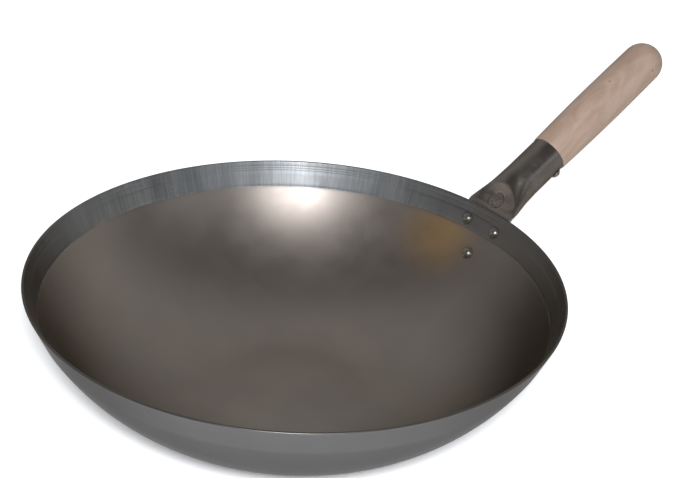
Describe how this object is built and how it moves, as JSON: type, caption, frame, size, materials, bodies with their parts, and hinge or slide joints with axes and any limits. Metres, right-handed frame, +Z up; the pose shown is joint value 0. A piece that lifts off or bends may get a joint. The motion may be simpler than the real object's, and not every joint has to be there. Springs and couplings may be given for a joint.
{
  "type": "wok",
  "caption": "Round-walled open wok in bare carbon steel with a small flat base and a straight wooden grip held in a riveted tube socket.",
  "frame": {"origin": "centre of the flat base, on the surface that the wok stands on", "axes": "+Z up along the bowl's axis, +X from the bowl's axis towards the handle"},
  "size_m": [0.5158, 0.3494, 0.1977],
  "materials": {
    "bowl_steel": "satin, spun",
    "socket_steel": "satin, rolled",
    "fastener_steel": "bright",
    "beech": "sanded, unvarnished"
  },
  "bodies": {
    "root": {"wok_bowl": "bowl_steel", "handle_socket": "socket_steel", "rivet_upper_left": "fastener_steel", "rivet_upper_right": "fastener_steel", "rivet_lower": "fastener_steel", "wood_grip": "beech", "grip_screw": "fastener_steel"}
  },
  "joints": []
}
